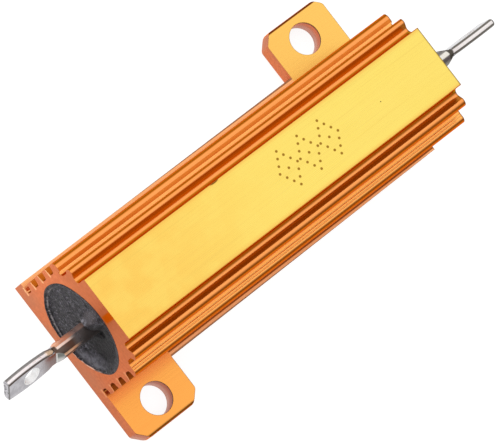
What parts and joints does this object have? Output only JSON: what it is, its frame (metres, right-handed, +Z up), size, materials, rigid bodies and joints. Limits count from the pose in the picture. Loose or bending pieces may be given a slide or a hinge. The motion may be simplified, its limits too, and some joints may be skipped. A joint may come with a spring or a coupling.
{
  "type": "power resistor",
  "caption": "Gold finned aluminium power resistor on a flat base, with drilled ears on opposite corners, dark potted ends and flattened, pierced solder terminals.",
  "frame": {"origin": "middle of the flat mounting face, on the housing's centre line", "axes": "+X along the housing towards the end whose ear is on the +Y side, +Z up from the mounting face"},
  "size_m": [0.0717, 0.0268, 0.0155],
  "materials": {
    "anodised_aluminium": "gold anodised",
    "cement": "cast, matt",
    "tinned_lead": "tinned",
    "plated_steel": "satin",
    "ceramic": "fired, unglazed",
    "resistance_alloy": "drawn ribbon"
  },
  "bodies": {
    "root": {"housing": "anodised_aluminium", "cement_fill": "cement", "near_terminal": "tinned_lead", "far_terminal": "tinned_lead", "near_end_cap": "plated_steel", "far_end_cap": "plated_steel", "ceramic_core": "ceramic", "resistance_winding": "resistance_alloy"}
  },
  "joints": []
}
